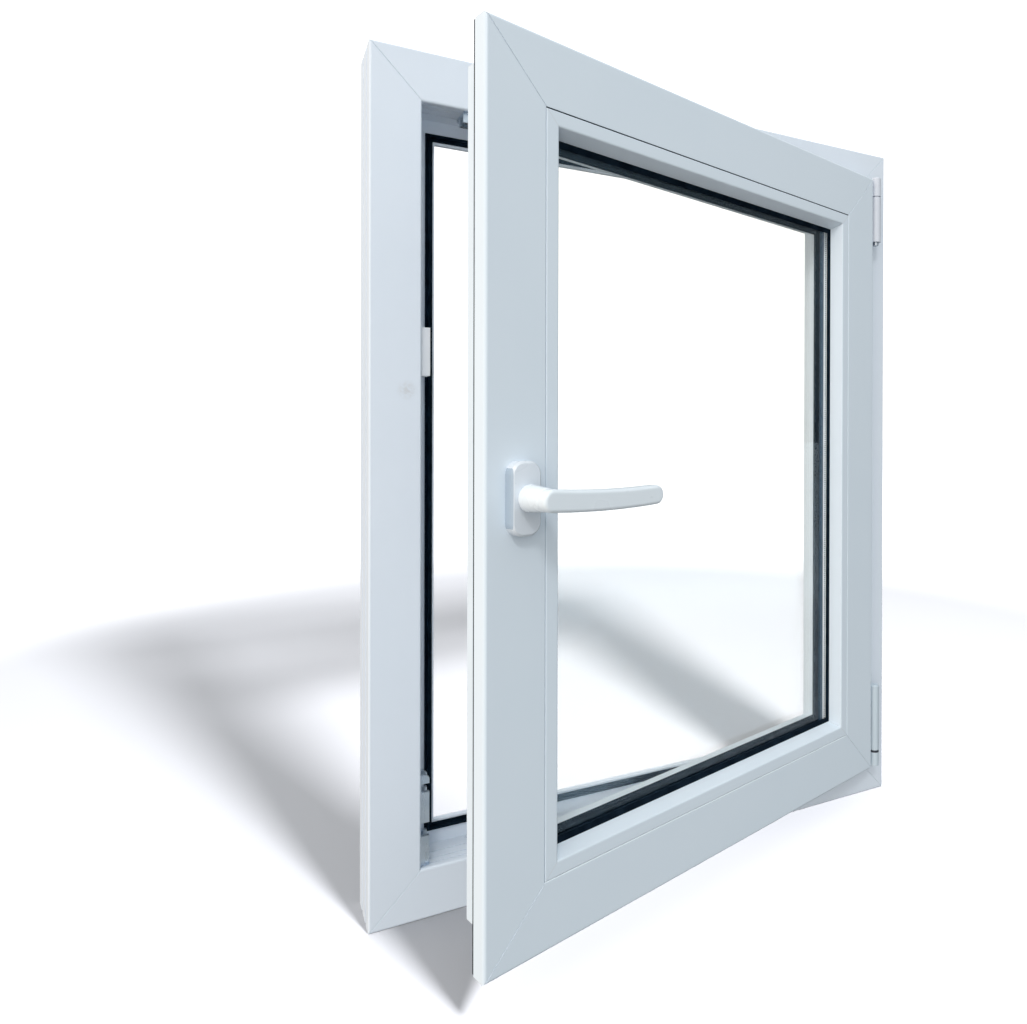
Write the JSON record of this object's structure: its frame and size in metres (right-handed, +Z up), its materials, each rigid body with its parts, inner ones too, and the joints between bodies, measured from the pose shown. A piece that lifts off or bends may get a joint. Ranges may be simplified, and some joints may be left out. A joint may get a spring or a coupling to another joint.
{
  "type": "tilt and turn window",
  "caption": "White plastic inward-opening casement window, sash standing ajar on its side hinges, with double glazing and a lever handle.",
  "frame": {"origin": "middle of the fixed frame's bottom face, at half its width and half its depth", "axes": "+Z up, +X along the width from the lever side to the hinge side, +Y from the room to the weather side"},
  "size_m": [0.7, 0.2833, 0.9],
  "materials": {
    "white_profile": "smooth satin white",
    "black_seal": "matt black",
    "clear_glass": "clear float glass",
    "white_handle": "white powder coat",
    "white_cap": "white",
    "spacer_metal": "mill finish, perforated",
    "zinc_steel": "bright zinc plate"
  },
  "bodies": {
    "root": {"bead_seal": "black_seal", "bottom_bead": "white_profile", "bottom_corner_drive": "zinc_steel", "corner_bearing": "zinc_steel", "corner_bearing_cap": "white_cap", "corner_hinge": "zinc_steel", "corner_hinge_cap": "white_cap", "corner_keep": "zinc_steel", "frame_head": "white_profile", "frame_left_jamb": "white_profile", "frame_right_jamb": "white_profile", "frame_seal": "black_seal", "frame_sill": "white_profile", "handle_lever": "white_handle", "handle_rosette": "white_handle", "head_keep": "zinc_steel", "inner_pane": "clear_glass", "left_bead": "white_profile", "locking_cams": "zinc_steel", "lower_keep": "zinc_steel", "outer_glass_seal": "black_seal", "outer_pane": "clear_glass", "right_bead": "white_profile", "sash_bottom_rail": "white_profile", "sash_left_stile": "white_profile", "sash_right_stile": "white_profile", "sash_seal": "black_seal", "sash_top_rail": "white_profile", "side_gear": "zinc_steel", "spacer_bar": "spacer_metal", "stay_arm": "zinc_steel", "stay_arm_cap": "white_cap", "stay_bearing": "zinc_steel", "stay_bearing_cap": "white_cap", "stay_pin": "zinc_steel", "top_bead": "white_profile", "top_corner_drive": "zinc_steel", "top_gear": "zinc_steel", "upper_keep": "white_cap"}
  },
  "joints": []
}
